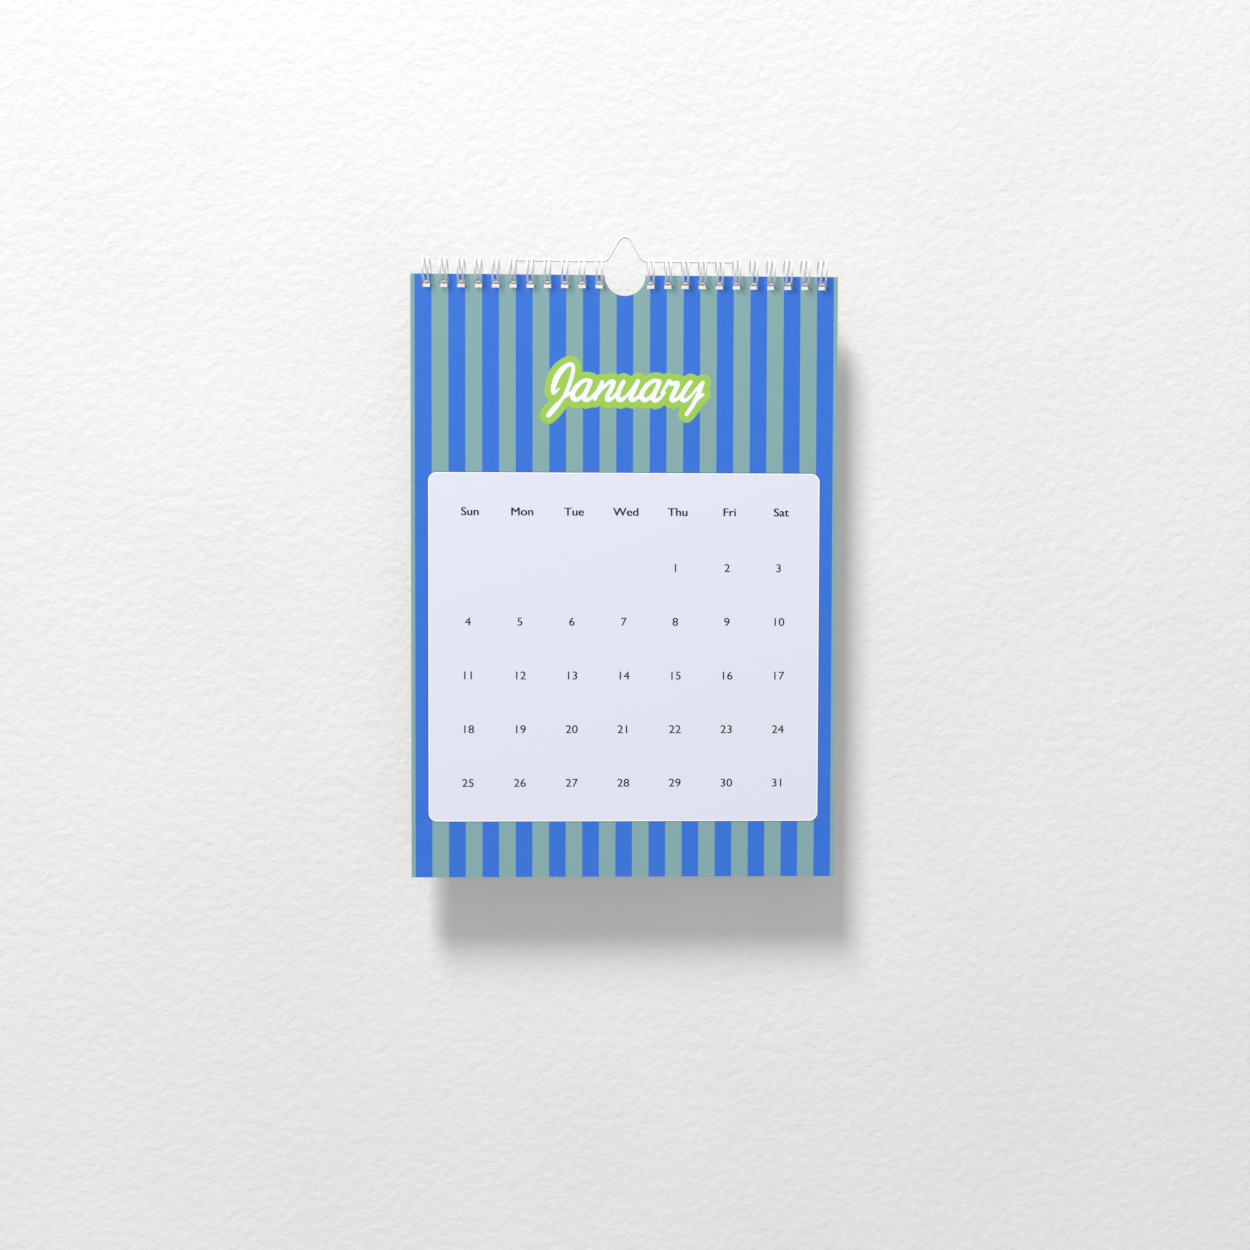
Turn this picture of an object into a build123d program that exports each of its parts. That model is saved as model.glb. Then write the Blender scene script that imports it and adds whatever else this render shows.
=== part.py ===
from build123d import *
import math
import os

# A wire-bound wall calendar that hangs from a hook of bent wire.
# The origin is the seat of the hook, where its bend rests on a nail.
# +Z is up, +X is to the reader's right and the printed side faces -Y.
# All sizes are in millimetres and degrees.

# Leaves and back board
sheet_width = 210.0
sheet_height = 297.0
leaf_thickness = 0.27
inner_leaf_count = 11
board_thickness = 0.6
front_leaf_play = 0.06
thumb_radius = 10.1

# Punched holes, one for each wire loop
hole_width = 4.0
hole_height = 4.2
hole_margin = 2.3
edge_land = 5.0
thumb_land = 0.4

# Wire combs
ring_pitch = 25.4 / 3
ring_radius = 6.1
ring_wire = 0.95
ring_rise = 2.3
leg_spacing = 2.45
tip_overhang = 1.0
tip_to_link = 0.35
link_bend = 0.8
end_stub = 0.8

# Hanger wire
hanger_wire = 1.2
hanger_length = 107.0
hanger_play = 0.03
shoulder_play = 0.15
shoulder_bend = 3.5
hook_bend = 3.5
flank_angle = 60.0

# Hanger heights: the seat is the inner side of the hook's upper bend
ring_count_per_side = int((sheet_width / 2 - hole_width / 2 - edge_land) / ring_pitch + 0.5)
all_ring_places = [(i + 0.5) * ring_pitch for i in range(ring_count_per_side)]
nearest_ring = thumb_radius + hole_width / 2 + thumb_land
ring_places = [x for x in all_ring_places if x >= nearest_ring]
shoulder_x = ring_places[0] - leg_spacing / 2 - ring_wire / 2 - shoulder_play
flank_slope = math.radians(flank_angle)
flank_foot_x = shoulder_x - shoulder_bend * math.tan(flank_slope / 2)
flank_top = flank_foot_x * math.tan(flank_slope)
hook_rise = flank_top - hook_bend * (1 / math.cos(flank_slope) - 1)
arm_z = hanger_wire / 2 - hook_rise

# Ring and leaf heights: the rings hang on the hanger's arms
ring_centre_z = arm_z + hanger_wire / 2 + hanger_play + ring_wire / 2 - ring_radius
sheet_top = ring_centre_z - ring_rise

# Leaves in depth: the whole stack lies midway, so that it hangs straight down
inner_thickness = inner_leaf_count * leaf_thickness
stack_thickness = leaf_thickness + front_leaf_play + inner_thickness + board_thickness
front_leaf_y = -stack_thickness / 2
inner_leaves_y = front_leaf_y + leaf_thickness + front_leaf_play
board_y = inner_leaves_y + inner_thickness

# Angles about the ring's centre, from straight down and towards the wall
tip_angle = math.asin((stack_thickness / 2 + tip_overhang) / ring_radius)
tip_start = 2 * math.pi + tip_angle - leg_spacing / 2 / ring_radius
link_angle = tip_angle + (ring_wire + tip_to_link) / ring_radius
leg_start = link_angle + link_bend / ring_radius


def punched_sheet(front_y, thickness):
    """A flat sheet with its row of square holes and its thumb cut-out."""
    outline = Pos(0, sheet_top - sheet_height / 2) * Rectangle(sheet_width, sheet_height)
    hole_z = sheet_top - hole_margin - hole_height / 2
    hole_spots = [Pos(side * x, hole_z) for x in ring_places for side in (-1, 1)]
    holes = [spot * Rectangle(hole_width, hole_height) for spot in hole_spots]
    thumb = Pos(0, sheet_top) * Circle(thumb_radius)
    face = outline - holes - thumb
    back_plane = Plane(origin=(0, front_y + thickness, 0), x_dir=(1, 0, 0), z_dir=(0, -1, 0))
    return extrude(back_plane * face, amount=thickness)


def ring_point(x, angle):
    """A point on the middle line of a loop."""
    return Vector(x, ring_radius * math.sin(angle), ring_centre_z - ring_radius * math.cos(angle))


def quarter_bend(start, centre, end):
    """A quarter circle from start to end about centre."""
    middle = centre + ((start + end) / 2 - centre) * math.sqrt(2)
    return ThreePointArc(start, middle, end)


def finger_path(x):
    """One hairpin loop: up behind the sheets, over, down in front and through its hole."""
    left = x - leg_spacing / 2
    right = x + leg_spacing / 2
    half_way = (leg_start + tip_start) / 2
    up = Vector(0, math.cos(leg_start), math.sin(leg_start))
    onward = Vector(0, math.cos(tip_start), math.sin(tip_start))
    across = Vector(link_bend, 0, 0)
    drop = up * link_bend
    left_foot = ring_point(left, leg_start)
    right_foot = ring_point(right, leg_start)
    left_end = ring_point(left, tip_start)
    right_end = ring_point(right, tip_start)
    tip = ring_point(x, tip_start) + onward * (leg_spacing / 2)
    return [
        quarter_bend(left_foot - across - drop, left_foot - across, left_foot),
        ThreePointArc(left_foot, ring_point(left, half_way), left_end),
        ThreePointArc(left_end, tip, right_end),
        ThreePointArc(right_end, ring_point(right, half_way), right_foot),
        quarter_bend(right_foot, right_foot + across, right_foot + across - drop),
    ]


def round_rod(path, diameter):
    """A solid rod that follows a smooth path."""
    section = Plane(origin=path @ 0, z_dir=path % 0) * Circle(diameter / 2)
    return sweep(section, path=path)


def wire_comb(places):
    """One comb of hairpin loops, bent from a single length of wire."""
    stub = Vector(end_stub, 0, 0)
    fingers = [finger_path(x) for x in places]
    edges = [Line(fingers[0][0] @ 0 - stub, fingers[0][0] @ 0)]
    for finger, following in zip(fingers, fingers[1:]):
        edges += finger
        edges.append(Line(finger[-1] @ 1, following[0] @ 0))
    edges += fingers[-1]
    edges.append(Line(fingers[-1][-1] @ 1, fingers[-1][-1] @ 1 + stub))
    return round_rod(Wire(edges), ring_wire)


def hanger():
    """The hanger: two straight arms with a hook bent up between them."""
    corners = [
        (-hanger_length / 2, 0, arm_z),
        (-flank_foot_x, 0, arm_z),
        (0, 0, arm_z + flank_top),
        (flank_foot_x, 0, arm_z),
        (hanger_length / 2, 0, arm_z),
    ]
    return round_rod(FilletPolyline(*corners, radius=[shoulder_bend, hook_bend, shoulder_bend]), hanger_wire)


nodes = {
    "front_sheet": punched_sheet(front_leaf_y, leaf_thickness),
    "inner_sheets": punched_sheet(inner_leaves_y, inner_thickness),
    "back_board": punched_sheet(board_y, board_thickness),
    "wire_comb_left": wire_comb([-x for x in reversed(ring_places)]),
    "wire_comb_right": wire_comb(ring_places),
    "hanger_wire": hanger(),
}

os.makedirs("parts", exist_ok=True)
for name, solid in nodes.items():
    export_step(solid, f"parts/{name}.step")

print("hanger arms at", round(arm_z, 3), "ring centre at", round(ring_centre_z, 3))
print("leaf tops at", round(sheet_top, 3), "stack", round(stack_thickness, 3), "thick")
print("loops on each side", len(ring_places), "first at", round(ring_places[0], 3))
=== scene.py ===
"""The looks of a wire-bound wall calendar that hangs from its wire hanger.

Every size is in metres. +X is to the reader's right, +Z is up and the printed side faces -Y.
"""

import logging
import math
from dataclasses import dataclass
from enum import Enum
from typing import Any, Union

import bmesh
import bpy
from mathutils import Matrix, Vector


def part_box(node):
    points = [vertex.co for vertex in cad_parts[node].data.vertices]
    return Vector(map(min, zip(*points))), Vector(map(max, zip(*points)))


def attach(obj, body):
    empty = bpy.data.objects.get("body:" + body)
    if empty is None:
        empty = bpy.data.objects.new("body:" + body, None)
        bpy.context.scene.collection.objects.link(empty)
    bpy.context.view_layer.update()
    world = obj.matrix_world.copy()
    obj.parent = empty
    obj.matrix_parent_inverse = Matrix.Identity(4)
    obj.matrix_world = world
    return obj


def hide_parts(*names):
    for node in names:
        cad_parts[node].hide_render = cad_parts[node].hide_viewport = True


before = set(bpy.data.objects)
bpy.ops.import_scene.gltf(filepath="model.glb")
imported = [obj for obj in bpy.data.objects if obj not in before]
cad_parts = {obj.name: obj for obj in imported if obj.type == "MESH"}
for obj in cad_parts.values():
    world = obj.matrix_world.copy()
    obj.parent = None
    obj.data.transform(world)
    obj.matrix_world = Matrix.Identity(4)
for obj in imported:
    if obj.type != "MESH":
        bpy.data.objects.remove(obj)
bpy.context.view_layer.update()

MM = 0.001
FIBRE_DEPTH = 0.03 * MM
log = logging.getLogger("calendar")

Colour = tuple[float, float, float]
Operand = Union["Value", float]


def from_screen(red: int, green: int, blue: int) -> Colour:
    """Turns a screen colour of 0 to 255 into the linear colour that a shader takes.

    Args:
        red: the red part.
        green: the green part.
        blue: the blue part.

    Returns:
        The three linear parts, 0 to 1.
    """
    parts = [part / 255 for part in (red, green, blue)]
    return tuple(part / 12.92 if part <= 0.04045 else ((part + 0.055) / 1.055) ** 2.4 for part in parts)


class Paint(Enum):
    """The printing inks, the tones of paper, card, wire coat and wall, and the grey of the painted shade
    between the inner leaves.
    """

    BLUE = from_screen(24, 106, 210)
    TEAL = from_screen(126, 166, 165)
    PANEL = from_screen(226, 226, 238)
    LIME = from_screen(152, 200, 58)
    WHITE = from_screen(244, 242, 252)
    TYPE = from_screen(24, 24, 28)
    OUTLINE = from_screen(22, 34, 70)
    RIM = from_screen(248, 248, 252)
    BLOOM = from_screen(236, 238, 240)
    PAPER_LIGHT = from_screen(240, 240, 238)
    PAPER_SHADE = from_screen(232, 232, 231)
    STOCK_LIGHT = from_screen(238, 238, 234)
    # painted shade: the grey drawn into the gaps between the inner leaves
    STOCK_SHADE = from_screen(226, 226, 224)
    PAINTED_GAP_SHADE = from_screen(150, 150, 150)
    PULP_DARK = from_screen(150, 146, 138)
    PULP_LIGHT = from_screen(182, 178, 168)
    FLECK = from_screen(112, 106, 98)
    COAT_LIGHT = from_screen(242, 242, 244)
    COAT_SHADE = from_screen(226, 227, 231)
    WALL_LIGHT = from_screen(238, 237, 234)
    WALL_SHADE = from_screen(230, 229, 226)


class Grain(Enum):
    """How many features of each small relief or tone stand on a metre."""

    FIBRE = 2600.0
    FLECKS = 1900.0
    CARD_TOOTH = 1500.0
    COAT_SKIN = 1400.0
    SPECKLE = 900.0
    STOCK_TONE = 700.0
    PAPER_TONE = 500.0
    PULP = 420.0
    WAVE = 320.0
    CARD_SHEEN = 300.0
    COAT_TONE = 240.0
    PLASTER = 210.0
    SHEEN = 180.0
    CLOUD = 60.0
    WALL_TONE = 9.0


class Value:
    """One number in a shader, which Python's operators turn into Math nodes."""

    def __init__(self, shader: "Shader", socket: bpy.types.NodeSocket) -> None:
        """Wraps a socket.

        Args:
            shader: the shader that the socket belongs to.
            socket: the output socket that carries the number.
        """
        self.shader = shader
        self.socket = socket

    def _math(self, operation: str, *operands: Operand) -> "Value":
        """Adds one Math node.

        Args:
            operation: the Math node's operation.
            operands: the values of its sockets, in order.

        Returns:
            The node's result.
        """
        node = self.shader.node("ShaderNodeMath", {"operation": operation}, dict(enumerate(operands)))
        return Value(self.shader, node.outputs[0])

    def __add__(self, other: Operand) -> "Value":
        """Adds two values."""
        return self._math("ADD", self, other)

    __radd__ = __add__

    def __sub__(self, other: Operand) -> "Value":
        """Takes other away."""
        return self._math("SUBTRACT", self, other)

    def __rsub__(self, other: Operand) -> "Value":
        """Takes this value away from other."""
        return self._math("SUBTRACT", other, self)

    def __mul__(self, other: Operand) -> "Value":
        """Multiplies two values."""
        return self._math("MULTIPLY", self, other)

    __rmul__ = __mul__

    def __truediv__(self, other: Operand) -> "Value":
        """Divides by other."""
        return self._math("DIVIDE", self, other)

    def __rtruediv__(self, other: Operand) -> "Value":
        """Divides other by this value."""
        return self._math("DIVIDE", other, self)

    def __lt__(self, other: Operand) -> "Value":
        """1 where this value is under other, or else 0."""
        return self._math("LESS_THAN", self, other)

    def __gt__(self, other: Operand) -> "Value":
        """1 where this value is over other, or else 0."""
        return self._math("GREATER_THAN", self, other)

    def __abs__(self) -> "Value":
        """The value without its sign."""
        return self._math("ABSOLUTE", self)

    def at_least(self, other: Operand) -> "Value":
        """The larger of two values."""
        return self._math("MAXIMUM", self, other)

    def at_most(self, other: Operand) -> "Value":
        """The smaller of two values."""
        return self._math("MINIMUM", self, other)

    def wrapped(self, length: float) -> "Value":
        """The value counted again from 0 at each whole length."""
        return self._math("FLOORED_MODULO", self, length)

    def root(self) -> "Value":
        """The square root."""
        return self._math("SQRT", self)


class Shader:
    """A material's node tree, with one Principled surface."""

    def __init__(self, name: str) -> None:
        """Makes an empty material.

        Args:
            name: the material's name.
        """
        self.material = bpy.data.materials.new(name)
        self.material.use_nodes = True
        self.tree = self.material.node_tree
        self.tree.nodes.clear()
        self.output = self.tree.nodes.new("ShaderNodeOutputMaterial")
        self.surface = self.tree.nodes.new("ShaderNodeBsdfPrincipled")
        self.tree.links.new(self.surface.outputs[0], self.output.inputs["Surface"])

    def node(self, kind: str, settings: dict[str, Any], sockets: dict[Any, Any]) -> bpy.types.Node:
        """Adds any node.

        Args:
            kind: the node's type.
            settings: its properties, which are set first.
            sockets: a number, colour, Value or socket for each input, by name or place.

        Returns:
            The new node.
        """
        made = self.tree.nodes.new(kind)
        for key, setting in settings.items():
            setattr(made, key, setting)
        for key, given in sockets.items():
            self.feed(made.inputs[key], given)
        return made

    def feed(self, target: bpy.types.NodeSocket, given: Any) -> None:
        """Links or sets one input.

        Args:
            target: the input socket.
            given: a Value, a socket, or a plain number or colour.
        """
        if isinstance(given, Value):
            self.tree.links.new(given.socket, target)
        elif isinstance(given, bpy.types.NodeSocket):
            self.tree.links.new(given, target)
        elif target.type == "RGBA":
            target.default_value = (*given, 1.0)
        else:
            target.default_value = given

    def place(self) -> bpy.types.NodeSocket:
        """The point on the piece, in the calendar's own frame."""
        return self.node("ShaderNodeTexCoord", {}, {}).outputs["Object"]

    def axes(self) -> tuple[Value, Value, Value]:
        """The point's three coordinates."""
        split = self.node("ShaderNodeSeparateXYZ", {}, {0: self.place()})
        return tuple(Value(self, output) for output in split.outputs)

    def noise(self, grain: Grain, detail: float = 2.0, roughness: float = 0.5) -> Value:
        """A smooth random value, about 0.5 on average.

        Args:
            grain: how fine it is.
            detail: how many finer layers are added.
            roughness: how strong the finer layers are.

        Returns:
            The noise value.
        """
        sockets = {"Vector": self.place(), "Scale": grain.value, "Detail": detail, "Roughness": roughness}
        made = self.node("ShaderNodeTexNoise", {"noise_dimensions": "3D"}, sockets)
        return Value(self, made.outputs["Fac"])

    def mix(self, share: Operand, first: Any, second: Any) -> bpy.types.NodeSocket:
        """Mixes two colours.

        Args:
            share: 0 for the first colour, 1 for the second.
            first: a colour or a colour socket.
            second: a colour or a colour socket.

        Returns:
            The mixed colour's socket.
        """
        made = self.node("ShaderNodeMix", {"data_type": "RGBA"}, {0: share, 6: first, 7: second})
        return made.outputs[2]

    def bump(self, height: Value, depth: float, strength: float = 1.0) -> None:
        """Raises the surface's small relief.

        Args:
            height: the relief, 0 to 1.
            depth: what a height of 1 stands for, in metres.
            strength: how much of it shows.
        """
        sockets = {"Height": height, "Distance": depth, "Strength": strength}
        made = self.node("ShaderNodeBump", {}, sockets)
        self.feed(self.surface.inputs["Normal"], made.outputs[0])

    def finish(self, **sockets: Any) -> bpy.types.Material:
        """Sets the surface's inputs.

        Args:
            sockets: each input, by its name with _ for a space.

        Returns:
            The finished material.
        """
        for key, given in sockets.items():
            self.feed(self.surface.inputs[key.replace("_", " ").title().replace("Ior", "IOR")], given)
        return self.material


@dataclass(frozen=True)
class SheetSize:
    """The leaves, as punched, in metres."""

    width: float = 210 * MM
    height: float = 297 * MM
    thumb_radius: float = 10.1 * MM
    hole_width: float = 4.0 * MM
    hole_height: float = 4.2 * MM
    hole_margin: float = 2.3 * MM
    pitch: float = 25.4 * MM / 3
    loops_per_side: int = 11

    def hole_places(self) -> list[float]:
        """The middle of each hole, along X."""
        places = [(step + 1.5) * self.pitch for step in range(self.loops_per_side)]
        return [-place for place in reversed(places)] + places


@dataclass(frozen=True)
class PanelSize:
    """The pale rounded field under the dates, in metres from the leaf's top edge."""

    half_width: float = 96.6 * MM
    top: float = 96.7 * MM
    bottom: float = 269.3 * MM
    corner: float = 4.2 * MM
    line: float = 0.35 * MM
    rim: float = 0.55 * MM


@dataclass(frozen=True)
class PrintedPage:
    """Coated paper with printed stripes and a rounded field."""

    name: str
    front: float
    top: float
    stripe: float = 8.24 * MM
    edge_stripe: float = 2.0 * MM
    panel: PanelSize = PanelSize()
    sheet: SheetSize = SheetSize()

    def corner_distance(self, x: Value, z: Value) -> Value:
        """How far a point lies outside the field's rounded outline, under 0 inside.

        Args:
            x: the point's place across the leaf.
            z: the point's height.

        Returns:
            The signed distance in metres.
        """
        middle = self.top - (self.panel.top + self.panel.bottom) / 2
        half_height = (self.panel.bottom - self.panel.top) / 2
        across = abs(x) - (self.panel.half_width - self.panel.corner)
        up = abs(z - middle) - (half_height - self.panel.corner)
        across_out = across.at_least(0.0)
        up_out = up.at_least(0.0)
        outside = (across_out * across_out + up_out * up_out).root()
        inside = across.at_least(up).at_most(0.0)
        return outside + inside - self.panel.corner

    def printed(self, shader: Shader) -> bpy.types.NodeSocket:
        """The colour of the printed side.

        Args:
            shader: the shader that takes the colour.

        Returns:
            The colour's socket.
        """
        x, _, z = shader.axes()
        start = self.sheet.width / 2 - self.edge_stripe
        is_teal = (x + start).wrapped(2 * self.stripe) > self.stripe
        stripes = shader.mix(is_teal, Paint.BLUE.value, Paint.TEAL.value)
        distance = self.corner_distance(x, z)
        lined = shader.mix((distance < self.panel.line) * 0.75, stripes, Paint.OUTLINE.value)
        rimmed = shader.mix(distance < 0.0, lined, Paint.RIM.value)
        printed = shader.mix(distance < -self.panel.rim, rimmed, Paint.PANEL.value)
        mottle = shader.noise(Grain.SPECKLE, 3.0) * 0.04 + shader.noise(Grain.CLOUD) * 0.02
        return shader.mix(mottle, printed, Paint.BLOOM.value)

    def on_front(self, shader: Shader, paper: Any) -> bpy.types.NodeSocket:
        """The print on the front face, and the bare paper elsewhere.

        Args:
            shader: the shader that takes the colour.
            paper: the bare paper's colour.

        Returns:
            The colour's socket.
        """
        is_front = shader.axes()[1] < self.front + 0.02 * MM
        return shader.mix(is_front, paper, self.printed(shader))

    def material(self) -> bpy.types.Material:
        """The page's paper and print."""
        shader = Shader(self.name)
        patch = shader.noise(Grain.PAPER_TONE, 3.0)
        tone = shader.mix(patch, Paint.PAPER_LIGHT.value, Paint.PAPER_SHADE.value)
        colour = self.on_front(shader, tone)
        fibre = shader.noise(Grain.FIBRE, 4.0, 0.6) * 0.5 + shader.noise(Grain.WAVE) * 0.5
        shader.bump(fibre, FIBRE_DEPTH, 0.35)
        sheen = 0.46 + shader.noise(Grain.SHEEN) * 0.08
        return shader.finish(base_color=colour, roughness=sheen, specular_ior_level=0.3)


@dataclass(frozen=True)
class LeafStock:
    """The inner leaves: print on the first one, and painted shade in the gap between each leaf and the
    next.
    """

    page: PrintedPage
    leaf: float = 0.27 * MM

    def material(self) -> bpy.types.Material:
        """The paper's material."""
        shader = Shader("leaf_stock")
        y = shader.axes()[1]
        depth = (y - self.page.front).wrapped(self.leaf) / self.leaf
        # painted shade: a thin grey line at each boundary between leaves, standing in for the shade in the
        # gaps between them
        painted_gap_shade_mask = abs(depth - 0.5) > 0.42
        patch = shader.noise(Grain.STOCK_TONE, 3.0)
        tone = shader.mix(patch, Paint.STOCK_LIGHT.value, Paint.STOCK_SHADE.value)
        gap_shaded_tone = shader.mix(painted_gap_shade_mask * 0.35, tone, Paint.PAINTED_GAP_SHADE.value)
        colour = self.page.on_front(shader, gap_shaded_tone)
        shader.bump(shader.noise(Grain.FIBRE, 4.0, 0.6), FIBRE_DEPTH, 0.35)
        return shader.finish(base_color=colour, roughness=0.5 + shader.noise(Grain.SHEEN) * 0.08)


@dataclass(frozen=True)
class GreyBoard:
    """The unbleached card of the back, with its flecks."""

    def material(self) -> bpy.types.Material:
        """The card's material."""
        shader = Shader("grey_board")
        patch = shader.noise(Grain.PULP, 5.0, 0.65)
        pulp = shader.mix(patch, Paint.PULP_DARK.value, Paint.PULP_LIGHT.value)
        flecks = shader.noise(Grain.FLECKS, 2.0, 0.4) > 0.68
        colour = shader.mix(flecks * 0.5, pulp, Paint.FLECK.value)
        shader.bump(shader.noise(Grain.CARD_TOOTH, 5.0, 0.7), 0.06 * MM, 0.5)
        return shader.finish(base_color=colour, roughness=0.86 + shader.noise(Grain.CARD_SHEEN) * 0.08)


@dataclass(frozen=True)
class CoatedWire:
    """Steel wire in a thin white plastic coat."""

    name: str = "coated_wire"

    def material(self) -> bpy.types.Material:
        """The wire's material."""
        shader = Shader(self.name)
        tone = shader.noise(Grain.COAT_TONE, 3.0, 0.6)
        colour = shader.mix(tone, Paint.COAT_LIGHT.value, Paint.COAT_SHADE.value)
        shader.bump(shader.noise(Grain.COAT_SKIN, 2.0), 0.02 * MM, 0.4)
        return shader.finish(base_color=colour, roughness=0.26 + tone * 0.12, coat_weight=0.35)


@dataclass(frozen=True)
class Ink:
    """A printed colour that stands on the page as a film."""

    name: str
    paint: Paint
    roughness: float = 0.5

    def material(self) -> bpy.types.Material:
        """The ink's material."""
        shader = Shader(self.name)
        patch = shader.noise(Grain.SPECKLE, 3.0) * 0.05
        colour = shader.mix(patch, self.paint.value, Paint.BLOOM.value)
        shader.bump(shader.noise(Grain.FIBRE, 4.0, 0.6), FIBRE_DEPTH, 0.3)
        return shader.finish(base_color=colour, roughness=self.roughness + patch)


def piece_from(mesh: bpy.types.Mesh, name: str, material: bpy.types.Material) -> bpy.types.Object:
    """Puts a mesh into the scene as a piece.

    Args:
        mesh: the mesh, in the calendar's frame.
        name: the piece's name.
        material: its finish.

    Returns:
        The new object.
    """
    mesh.materials.clear()
    mesh.materials.append(material)
    made = bpy.data.objects.new(name, mesh)
    bpy.context.scene.collection.objects.link(made)
    return made


def mesh_of(maker: bpy.types.Object) -> bpy.types.Mesh:
    """Turns a curve or a piece with modifiers into a plain mesh, and removes it.

    Args:
        maker: the object to evaluate.

    Returns:
        The finished mesh, in the object's own frame.
    """
    bpy.context.view_layer.update()
    seen = maker.evaluated_get(bpy.context.evaluated_depsgraph_get())
    mesh = bpy.data.meshes.new_from_object(seen)
    bpy.data.objects.remove(maker)
    return mesh


def joined(meshes: list[tuple[bpy.types.Mesh, Matrix]], name: str) -> bpy.types.Mesh:
    """Joins placed meshes into one.

    Args:
        meshes: each mesh and where it goes.
        name: the new mesh's name.

    Returns:
        The joined mesh.
    """
    whole = bmesh.new()
    for mesh, where in meshes:
        mesh.transform(where)
        whole.from_mesh(mesh)
    made = bpy.data.meshes.new(name)
    whole.to_mesh(made)
    whole.free()
    return made


@dataclass
class TypeSetter:
    """Sets figures and day names flat on a page that faces -Y."""

    page: float
    film: float = 0.012 * MM
    widen: float = 1.1

    def line(self, text: str, height: float, x: float, z: float) -> tuple[bpy.types.Mesh, Matrix]:
        """One word or number, struck once.

        Args:
            text: what it says.
            height: how tall a capital stands.
            x: the middle of the word.
            z: the middle of its height.

        Returns:
            Its mesh and its place.
        """
        face = bpy.data.curves.new("line", "FONT")
        face.body = text
        face.align_x = "CENTER"
        face.size = height / 0.72
        face.extrude = self.film
        face.resolution_u = 6
        maker = bpy.data.objects.new("line", face)
        bpy.context.scene.collection.objects.link(maker)
        mesh = mesh_of(maker)
        upright = Matrix.Rotation(math.radians(90), 4, "X")
        where = Matrix.Translation((x, self.page - self.film, z - height / 2)) @ upright
        return mesh, where @ Matrix.Scale(self.widen, 4, (1, 0, 0))


@dataclass
class DateGrid:
    """The week's heads and the dates of one month."""

    name: str
    body: str
    page: float
    top: float
    first_column: int
    days: int
    columns: int = 7
    column_pitch: float = 25.6 * MM
    row_pitch: float = 26.65 * MM
    head_depth: float = 115.8 * MM
    first_row_depth: float = 143.4 * MM
    figure: float = 4.1 * MM
    head_shift: float = 0.8 * MM
    figure_shift: float = -0.3 * MM
    head_strikes: tuple[float, ...] = (-0.14 * MM, 0.0, 0.14 * MM)
    figure_strikes: tuple[float, ...] = (-0.04 * MM, 0.04 * MM)
    week: tuple[str, ...] = ("Sun", "Mon", "Tue", "Wed", "Thu", "Fri", "Sat")

    def build(self) -> list[bpy.types.Object]:
        """The two pieces of type, placed and riding on the leaf."""
        setter = TypeSetter(self.page)
        middle = (self.columns - 1) / 2
        heads = []
        for column, day in enumerate(self.week):
            x = (column - middle) * self.column_pitch + self.head_shift
            z = self.top - self.head_depth
            heads += [setter.line(day, self.figure, x + strike, z) for strike in self.head_strikes]
        figures = []
        for day in range(self.days):
            row, column = divmod(day + self.first_column, self.columns)
            x = (column - middle) * self.column_pitch + self.figure_shift
            z = self.top - self.first_row_depth - row * self.row_pitch
            number = str(day + 1)
            figures += [setter.line(number, self.figure, x + strike, z) for strike in self.figure_strikes]
        ink = Ink("type_ink", Paint.TYPE).material()
        pieces = []
        for label, lines in (("heads", heads), ("figures", figures)):
            piece = piece_from(joined(lines, f"{self.name}_{label}"), f"{self.name}_{label}", ink)
            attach(piece, self.body)
            "front_sheet" if self.body == "front_leaf" else "inner_sheets"
            log.info("%s: %d faces", piece.name, len(piece.data.polygons))
            pieces.append(piece)
        return pieces


Stroke = list[tuple[float, float, float]]


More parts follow.
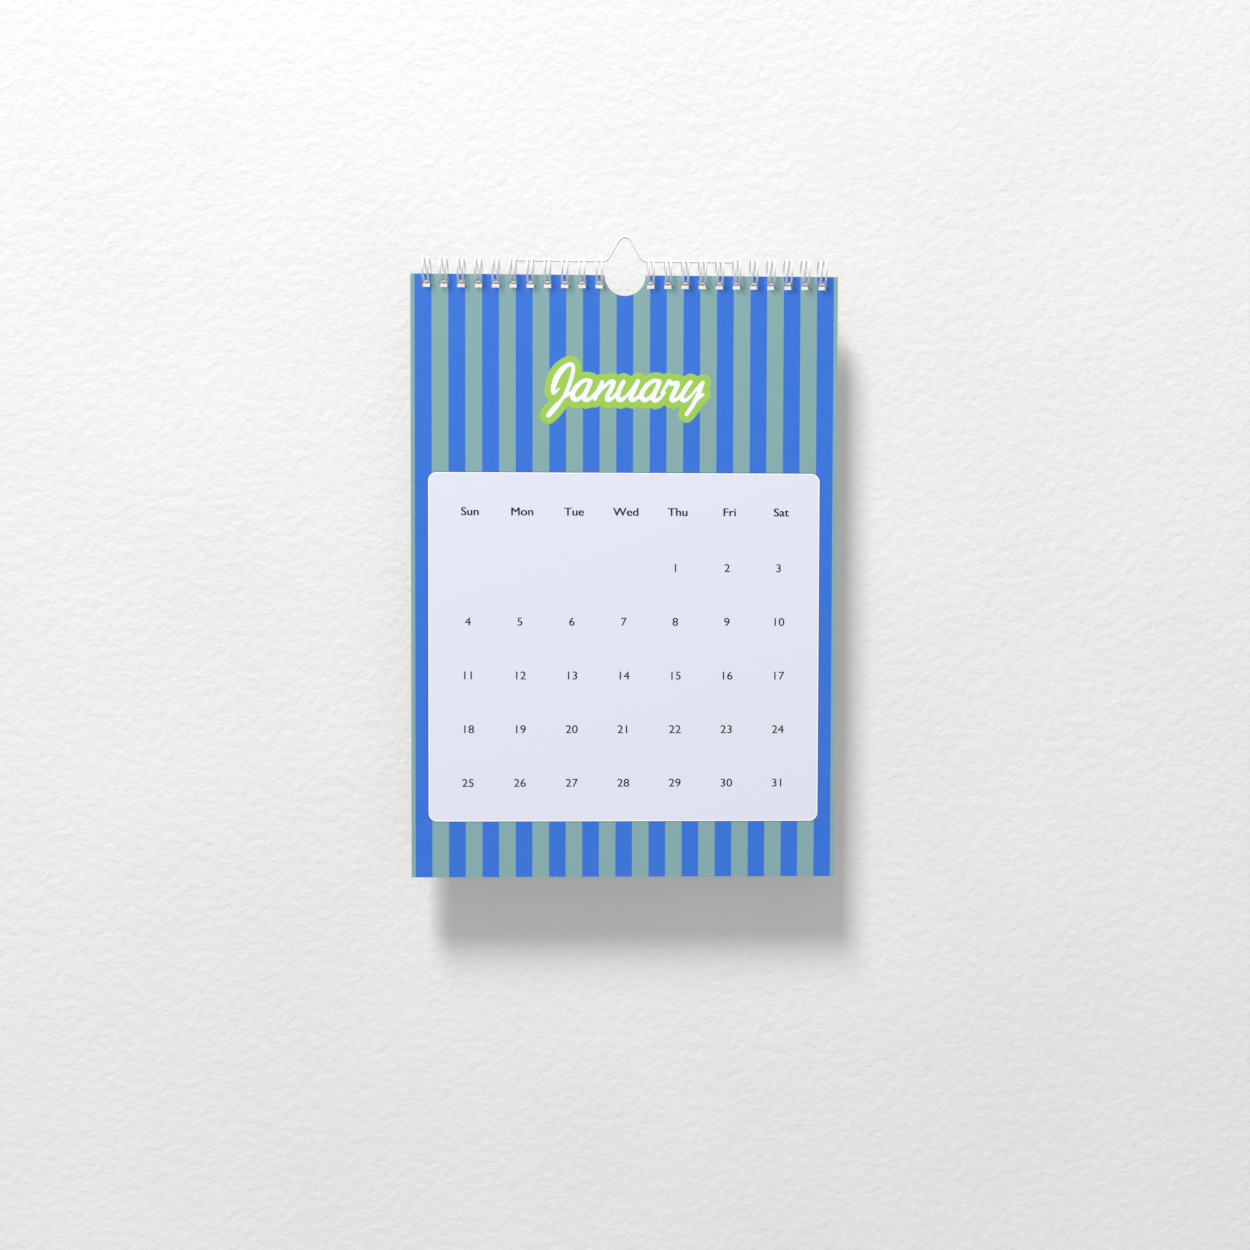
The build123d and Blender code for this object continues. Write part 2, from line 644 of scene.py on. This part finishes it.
@dataclass
class BrushWord:
    """The month's name in slanting brush strokes on a lime shape, in millimetres from the word's start."""

    page: float
    top: float
    start_x: float = -43.4
    base_depth: float = 61.4
    border: float = 3.4
    film: float = 0.02 * MM

    @staticmethod
    def letter_a() -> list[Stroke]:
        """A slanting round a with its leaving stroke."""
        bowl = [(26.4, 9.7, 1.0), (23.6, 9.9, 0.9), (20.2, 7.4, 1.1), (17.9, 3.7, 1.2), (18.2, 1.0, 1.2),
                (20.4, 0.7, 1.0), (23.4, 3.6, 0.7), (26.2, 8.8, 0.9)]
        stem = [(26.6, 9.2, 1.0), (25.0, 5.6, 1.1), (23.4, 1.8, 1.1), (24.4, 0.3, 1.1), (26.6, 1.2, 0.8),
                (29.2, 4.2, 0.6)]
        return [bowl, stem]

    def strokes(self) -> list[Stroke]:
        """All strokes of the word: x, height and half the brush's width at each point."""
        letter_j = [(11.0, 5.9, 0.35), (9.8, 4.6, 0.6), (8.1, 3.5, 0.7), (8.4, 7.0, 1.2), (10.3, 12.0, 1.4),
                    (13.6, 16.2, 1.2), (16.9, 17.8, 0.9), (18.1, 15.6, 0.9), (16.9, 10.2, 1.0),
                    (15.0, 5.0, 0.9), (12.6, 0.8, 0.7), (9.2, -3.4, 1.3), (5.9, -7.2, 1.2)]
        join_j = [(12.4, 0.6, 0.6), (14.8, 2.4, 0.7), (17.6, 4.2, 0.7)]
        n_stem = [(32.3, 9.2, 0.9), (30.5, 5.2, 1.0), (28.7, 0.8, 0.9)]
        n_arch = [(29.0, 1.8, 0.6), (32.6, 6.2, 0.7), (36.0, 9.2, 0.9), (37.9, 9.2, 1.0), (36.9, 6.2, 1.1),
                  (35.0, 2.6, 1.1), (35.0, 0.5, 1.1), (37.0, 1.0, 0.8), (39.8, 4.2, 0.6)]
        u_bowl = [(42.8, 9.4, 1.0), (40.7, 5.4, 1.1), (39.9, 1.8, 1.1), (41.4, 0.4, 1.1), (44.4, 2.6, 0.7),
                  (47.4, 6.4, 0.6), (49.4, 9.4, 0.7)]
        u_stem = [(49.9, 9.7, 1.0), (48.2, 5.8, 1.1), (46.3, 1.7, 1.1), (47.3, 0.4, 1.0), (49.6, 1.6, 0.8),
                  (51.9, 4.2, 0.6)]
        letter_r = [(61.6, 3.9, 0.6), (64.2, 8.2, 0.8), (65.3, 9.9, 0.9), (66.6, 8.5, 1.1),
                    (69.2, 9.0, 1.0), (69.4, 7.8, 1.0), (67.8, 4.4, 1.1), (66.4, 1.4, 1.1),
                    (67.4, 0.3, 1.0), (69.8, 1.6, 0.8), (72.0, 4.6, 0.6)]
        y_bowl = [(75.8, 9.4, 1.0), (73.0, 5.6, 1.1), (71.4, 2.0, 1.1), (72.8, 0.3, 1.0), (75.8, 2.4, 0.7),
                  (79.2, 6.6, 0.6), (81.4, 9.0, 0.7)]
        y_tail = [(81.9, 9.2, 0.9), (79.7, 3.6, 1.0), (76.8, -2.2, 1.0), (73.9, -6.4, 0.9)]
        y_exit = [(76.2, -2.8, 0.6), (79.0, 0.6, 0.6), (82.0, 3.4, 0.7)]
        second_a = 33.9
        first = self.letter_a()
        again = [[(x + second_a, z, half) for x, z, half in stroke] for stroke in first]
        start = [letter_j, join_j, *first, n_stem, n_arch, u_bowl, u_stem]
        return [*start, *again, letter_r, y_bowl, y_tail, y_exit]

    @staticmethod
    def smooth(stroke: Stroke, spacing: float) -> Stroke:
        """Runs a smooth line through a stroke's points.

        Args:
            stroke: the points that the brush passes.
            spacing: how far apart the new points stand, in millimetres.

        Returns:
            The closely spaced points.
        """
        knots = [Vector(point) for point in stroke]
        knots = [2 * knots[0] - knots[1], *knots, 2 * knots[-1] - knots[-2]]
        line = []
        for before, left, right, after in zip(knots, knots[1:], knots[2:], knots[3:]):
            steps = max(2, round((right.xy - left.xy).length / spacing))
            for step in range(steps):
                t = step / steps
                curve = 2 * left + (right - before) * t
                curve += (2 * before - 5 * left + 4 * right - after) * t ** 2
                curve += (3 * left - before - 3 * right + after) * t ** 3
                line.append(tuple(curve / 2))
        return [*line, stroke[-1]]

    def film_piece(self, name: str, grow: float, voxel: float, lift: float, ink: Ink) -> bpy.types.Object:
        """All strokes as one thin closed film.

        Args:
            name: the piece's name.
            grow: how far the film reaches beyond the strokes, in millimetres.
            voxel: how fine its outline is, in millimetres.
            lift: how far its middle stands off the page, in metres.
            ink: its finish.

        Returns:
            The new piece.
        """
        build = bmesh.new()
        for stroke in self.strokes():
            for x, z, half in self.smooth(stroke, 0.3 + grow / 4):
                spot = Matrix.Translation((x, 0, z))
                bmesh.ops.create_icosphere(build, subdivisions=2, radius=max(half, 0.3) + grow, matrix=spot)
        rough = bpy.data.meshes.new(name)
        build.to_mesh(rough)
        build.free()
        maker = bpy.data.objects.new(name, rough)
        bpy.context.scene.collection.objects.link(maker)
        remesh = maker.modifiers.new("union", "REMESH")
        remesh.mode = "VOXEL"
        remesh.voxel_size = voxel
        soften = maker.modifiers.new("soften", "SMOOTH")
        soften.iterations = 3
        mesh = mesh_of(maker)
        depth = max(abs(vertex.co.y) for vertex in mesh.vertices)
        flat = Matrix.Diagonal((MM, self.film / 2 / depth, MM, 1.0))
        where = Matrix.Translation((self.start_x * MM, self.page - lift, self.top - self.base_depth * MM))
        mesh.transform(where @ flat)
        piece = piece_from(mesh, name, ink.material())
        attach(piece, "front_leaf")
        log.info("%s: %d faces", name, len(mesh.polygons))
        return piece

    def build(self) -> None:
        """The lime shape and the white word on it."""
        self.film_piece("month_shape", self.border, 0.4, self.film * 0.6, Ink("lime_ink", Paint.LIME))
        self.film_piece("month_word", 0.1, 0.2, self.film * 1.6, Ink("white_ink", Paint.WHITE))


@dataclass
class LeafBlock:
    """The eleven inner leaves, each a thin punched sheet a hair out of line with the next."""

    low: Vector
    high: Vector
    count: int = 11
    air: float = 0.025 * MM
    stray: float = 0.22 * MM
    sheet: SheetSize = SheetSize()

    def outline(self) -> list[list[tuple[float, float]]]:
        """The sheet's outline and the outline of each hole, from the top edge's middle."""
        half = self.sheet.width / 2
        steps = 40
        notch = [
            (self.sheet.thumb_radius * math.cos(math.pi * step / steps),
             -self.sheet.thumb_radius * math.sin(math.pi * step / steps))
            for step in range(steps + 1)
        ]
        edge = [(half, 0.0), (half, -self.sheet.height), (-half, -self.sheet.height), (-half, 0.0)]
        rim = [*reversed(notch), *edge]
        high = -self.sheet.hole_margin
        low = high - self.sheet.hole_height
        reach = self.sheet.hole_width / 2
        holes = [
            [(x - reach, high), (x + reach, high), (x + reach, low), (x - reach, low)]
            for x in self.sheet.hole_places()
        ]
        return [rim, *holes]

    def leaf(self, thickness: float) -> bpy.types.Mesh:
        """One punched leaf, about its own middle plane.

        Args:
            thickness: the leaf's thickness.

        Returns:
            The leaf's mesh, with its height along Y.
        """
        shape = bpy.data.curves.new("leaf", "CURVE")
        shape.dimensions = "2D"
        shape.fill_mode = "BOTH"
        shape.extrude = thickness / 2
        for loop in self.outline():
            spline = shape.splines.new("POLY")
            spline.points.add(len(loop) - 1)
            for point, (x, z) in zip(spline.points, loop):
                point.co = (x, z, 0.0, 1.0)
            spline.use_cyclic_u = True
        maker = bpy.data.objects.new("leaf", shape)
        bpy.context.scene.collection.objects.link(maker)
        return mesh_of(maker)

    def build(self, material: bpy.types.Material) -> bpy.types.Object:
        """The whole block.

        Args:
            material: the paper.

        Returns:
            The piece that stands for the inner leaves.
        """
        step = (self.high.y - self.low.y) / self.count
        upright = Matrix.Rotation(math.radians(90), 4, "X")
        placed = []
        for index in range(self.count):
            aside = self.stray * math.sin(index * 2.4)
            down = self.stray * 0.6 * math.cos(index * 1.7) - self.stray * 0.6
            y = self.low.y + (index + 0.5) * step
            where = Matrix.Translation((aside, y, self.high.z + down)) @ upright
            placed.append((self.leaf(step - self.air), where))
        piece = piece_from(joined(placed, "leaf_block"), "leaf_block", material)
        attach(piece, "calendar")
        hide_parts("inner_sheets")
        log.info("leaf_block: %d faces", len(piece.data.polygons))
        return piece


@dataclass
class Studio:
    """The pale wall and floor, the soft lights and the camera."""

    middle: Vector
    wall_gap: float = 20 * MM
    wall_half: float = 1.6
    floor_drop: float = 0.46
    camera_place: tuple[float, float, float] = (-14.3 * MM, -602.8 * MM, -174.2 * MM)
    turn: float = -1.40
    tilt: float = -1.53
    roll: float = -0.14
    lens: float = 35.0
    sensor: float = 36.0
    room_tint: Colour = (0.93, 0.95, 1.0)
    room_strength: float = 0.54
    key_offset: tuple[float, float, float] = (-0.90, -1.45, 2.95)
    key_size: float = 0.80
    key_power: float = 142.0
    fill_offset: tuple[float, float, float] = (0.7, 1.4, 0.5)
    fill_size: float = 1.0
    fill_power: float = 14.0

    def plaster(self) -> bpy.types.Material:
        """Pale painted plaster, which is clear from behind so that the wall hides nothing."""
        shader = Shader("pale_wall")
        patch = shader.noise(Grain.WALL_TONE)
        tone = shader.mix(patch, Paint.WALL_LIGHT.value, Paint.WALL_SHADE.value)
        shader.bump(shader.noise(Grain.PLASTER, 5.0, 0.62), 0.6 * MM, 0.8)
        material = shader.finish(base_color=tone, roughness=0.9)
        behind = shader.node("ShaderNodeNewGeometry", {}, {}).outputs["Backfacing"]
        clear = shader.node("ShaderNodeBsdfTransparent", {}, {})
        sockets = {0: behind, 1: shader.surface.outputs[0], 2: clear.outputs[0]}
        both = shader.node("ShaderNodeMixShader", {}, sockets)
        shader.tree.links.new(both.outputs[0], shader.output.inputs["Surface"])
        return material

    def plane(self, name: str, size: float, where: Matrix,
              material: bpy.types.Material) -> bpy.types.Object:
        """A flat square of the set.

        Args:
            name: its name.
            size: half its side.
            where: its place.
            material: its finish.

        Returns:
            The new object.
        """
        corners = [(-size, -size, 0), (size, -size, 0), (size, size, 0), (-size, size, 0)]
        mesh = bpy.data.meshes.new(name)
        mesh.from_pydata([where @ Vector(corner) for corner in corners], [], [(0, 1, 2, 3)])
        made = piece_from(mesh, name, material)
        return made

    def lamp(self, name: str, offset: tuple[float, float, float], size: float, power: float) -> None:
        """A soft square lamp that points at the calendar.

        Args:
            name: its name.
            offset: its place from the calendar's middle.
            size: its side.
            power: its power in watts.
        """
        light = bpy.data.lights.new(name, "AREA")
        light.size = size
        light.energy = power
        made = bpy.data.objects.new(name, light)
        made.location = self.middle + Vector(offset)
        made.rotation_euler = (-Vector(offset)).to_track_quat("-Z", "Y").to_euler()
        bpy.context.scene.collection.objects.link(made)

    def camera(self) -> None:
        """The camera, level with the lower half of the leaf and turned a little."""
        optics = bpy.data.cameras.new("camera")
        optics.lens = self.lens
        optics.sensor_width = self.sensor
        optics.clip_start = 0.01
        made = bpy.data.objects.new("camera", optics)
        angles = [math.radians(angle) for angle in (self.turn, self.tilt, self.roll)]
        aim = Matrix.Rotation(angles[0], 4, "Z") @ Matrix.Rotation(angles[1], 4, "X")
        aim = aim @ Matrix.Rotation(angles[2], 4, "Y") @ Matrix.Rotation(math.radians(90), 4, "X")
        made.matrix_world = Matrix.Translation(self.camera_place) @ aim
        bpy.context.scene.collection.objects.link(made)
        bpy.context.scene.camera = made

    def build(self) -> None:
        """The whole set."""
        plaster = self.plaster()
        upright = Matrix.Rotation(math.radians(90), 4, "X")
        wall_place = Matrix.Translation((0, self.wall_gap, self.middle.z)) @ upright
        wall = self.plane("wall", self.wall_half, wall_place, plaster)
        wall.visible_shadow = False
        wall.visible_diffuse = False
        floor_place = Matrix.Translation((0, 0, self.middle.z - self.floor_drop))
        floor = self.plane("floor", self.wall_half * 2, floor_place, plaster)
        floor.visible_diffuse = False
        world = bpy.data.worlds.new("soft_room")
        bpy.context.scene.world = world
        world.use_nodes = True
        glow = world.node_tree.nodes["Background"]
        glow.inputs["Color"].default_value = (*self.room_tint, 1.0)
        glow.inputs["Strength"].default_value = self.room_strength
        self.lamp("key", self.key_offset, self.key_size, self.key_power)
        self.lamp("back_fill", self.fill_offset, self.fill_size, self.fill_power)
        self.camera()
        bpy.context.scene.view_settings.view_transform = "Standard"


def dress(node: str, material: bpy.types.Material) -> None:
    """Gives a carried-over piece its finish.

    Args:
        node: the piece's name in the frame.
        material: the finish.
    """
    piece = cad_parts[node]
    if not piece.material_slots:
        piece.data.materials.append(material)
    for place in piece.material_slots:
        place.material = material
    log.info("%s dressed in %s", node, material.name)


def main() -> None:
    """Builds the calendar's looks and the set around it."""
    logging.basicConfig(level=logging.INFO, format="%(name)s: %(message)s")
    leaf_low, leaf_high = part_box("front_sheet")
    block_low, block_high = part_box("inner_sheets")
    dress("front_sheet", PrintedPage("printed_page", leaf_low.y, leaf_high.z).material())
    dress("back_board", GreyBoard().material())
    wire = CoatedWire().material()
    for node in ("wire_comb_left", "wire_comb_right", "hanger_wire"):
        dress(node, wire)
    stock = LeafStock(PrintedPage("second_page", block_low.y, leaf_high.z))
    LeafBlock(block_low, block_high).build(stock.material())
    DateGrid("january", "front_leaf", leaf_low.y, leaf_high.z, first_column=4, days=31).build()
    DateGrid("february", "calendar", block_low.y, leaf_high.z, first_column=0, days=28).build()
    BrushWord(leaf_low.y, leaf_high.z).build()
    Studio(Vector((0, 0, (leaf_low.z + leaf_high.z) / 2))).build()


if __name__ == "__main__":
    main()
